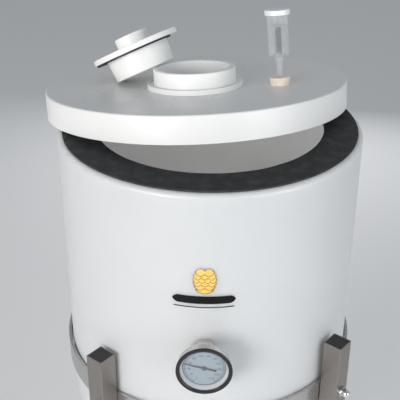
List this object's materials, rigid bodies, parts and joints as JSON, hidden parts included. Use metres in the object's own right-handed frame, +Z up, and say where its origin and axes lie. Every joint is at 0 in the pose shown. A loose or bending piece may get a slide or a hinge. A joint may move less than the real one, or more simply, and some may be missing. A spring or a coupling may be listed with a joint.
{
  "type": "conical fermenter",
  "caption": "White plastic conical fermenter with loose lid, access plug, airlock, dial thermometer and ball valves, on a square-tube stand.",
  "frame": {"origin": "on the tank axis at floor level, the centre of the four feet", "axes": "+Z up along the tank axis, -Y towards the thermometer and valves, +X to the right seen from the front"},
  "size_m": [0.4955, 0.6115, 1.2916],
  "materials": {
    "bezel_chrome": "dark polished",
    "bright_steel": "machined",
    "cap_white": "gloss",
    "clear_plastic": "clear polystyrene",
    "collar_white": "satin polyethylene",
    "dial_blue": "printed",
    "foam_black": "matte closed-cell foam",
    "grip_vinyl": "dipped vinyl",
    "hoop_metal": "brushed",
    "leg_metal": "brushed",
    "lens": "clear",
    "lid_white": "satin polyethylene",
    "needle_black": "matte",
    "nut_chrome": "polished",
    "plug_black": "moulded",
    "ptfe": "smooth",
    "seal_black": "matte",
    "seal_clear": "satin silicone",
    "stopper_rubber": "matte natural rubber",
    "tank_white": "translucent satin polyethylene"
  },
  "bodies": {
    "frame": {"acorn_nuts": "nut_chrome", "arm_bolts": "bright_steel", "cradle_arms": "hoop_metal", "cradle_ring": "hoop_metal", "dial_bezel": "bezel_chrome", "dial_case": "bright_steel", "dial_face": "dial_blue", "dial_lens": "lens", "dump_bulkhead": "bright_steel", "dump_locknut": "bright_steel", "dump_seals": "seal_clear", "dump_valve_body": "bright_steel", "dump_valve_gland": "bright_steel", "dump_valve_seats": "ptfe", "dump_valve_tail": "bright_steel", "hoop": "hoop_metal", "hoop_studs": "bright_steel", "leg_1": "leg_metal", "leg_2": "leg_metal", "leg_3": "leg_metal", "leg_4": "leg_metal", "leg_feet": "plug_black", "leg_plugs": "plug_black", "leg_washers": "bright_steel", "rack_bulkhead": "bright_steel", "rack_locknut": "bright_steel", "rack_seals": "seal_clear", "rack_valve_body": "bright_steel", "rack_valve_gland": "bright_steel", "rack_valve_seats": "ptfe", "rack_valve_tail": "bright_steel", "rim_gasket": "foam_black", "tank": "tank_white", "thermo_bulkhead": "bright_steel", "thermo_locknut": "bright_steel", "thermo_probe": "bright_steel", "thermo_seals": "seal_clear"},
    "lid": {"lid": "lid_white", "lid_collar": "collar_white"},
    "plug": {"access_plug": "collar_white", "plug_knob": "collar_white", "plug_gasket": "seal_black"},
    "stopper": {"stopper": "stopper_rubber"},
    "airlock": {"airlock_body": "clear_plastic"},
    "float": {"airlock_float": "clear_plastic"},
    "airlock_cap": {"airlock_cap": "cap_white"},
    "needle": {"dial_needle": "needle_black"},
    "dump_lever": {"dump_valve_ball": "bright_steel", "dump_valve_stem": "bright_steel", "dump_valve_lever": "bright_steel", "dump_valve_grip": "grip_vinyl", "dump_lever_nut": "bright_steel"},
    "rack_lever": {"rack_valve_ball": "bright_steel", "rack_valve_stem": "bright_steel", "rack_valve_lever": "bright_steel", "rack_valve_grip": "grip_vinyl", "rack_lever_nut": "bright_steel"},
    "rack_arm": {"racking_arm": "bright_steel"}
  },
  "joints": [
    {"name": "lid_lift", "type": "slide", "parent": "frame", "child": "lid", "axis": [0, 0, 1], "range_m": [0, 0.35]},
    {"name": "plug_lift", "type": "slide", "parent": "lid", "child": "plug", "axis": [-0.0464, 0.1618, 0.9857], "range_m": [0, 0.15]},
    {"name": "stopper_pull", "type": "slide", "parent": "lid", "child": "stopper", "axis": [-0.0812, 0.1617, 0.9835], "range_m": [0, 0.06]},
    {"name": "airlock_pull", "type": "slide", "parent": "stopper", "child": "airlock", "axis": [-0.0812, 0.1617, 0.9835], "range_m": [0, 0.05]},
    {"name": "airlock_float_rise", "type": "slide", "parent": "airlock", "child": "float", "axis": [-0.0812, 0.1617, 0.9835], "range_m": [0, 0.012]},
    {"name": "airlock_cap_lift", "type": "slide", "parent": "airlock", "child": "airlock_cap", "axis": [-0.0812, 0.1617, 0.9835], "range_m": [0, 0.04]},
    {"name": "needle_turn", "type": "hinge", "parent": "frame", "child": "needle", "pos_m": [-0.0047, -0.26946, 0.88431], "axis": [0.0175, 0.9998, 0], "range_deg": [-74, 226]},
    {"name": "dump_lever_turn", "type": "hinge", "parent": "frame", "child": "dump_lever", "pos_m": [0, 0, 0.222], "axis": [-0.0175, -0.9998, 0], "range_deg": [0, 90]},
    {"name": "rack_lever_turn", "type": "hinge", "parent": "frame", "child": "rack_lever", "pos_m": [-0.0025, -0.14349, 0.4161], "axis": [-0.0087, -0.4999, 0.866], "range_deg": [0, 90]},
    {"name": "rack_arm_turn", "type": "hinge", "parent": "frame", "child": "rack_arm", "pos_m": [-0.00188, -0.10798, 0.4366], "axis": [-0.0151, -0.8659, -0.5], "range_deg": [-90, 90]}
  ]
}
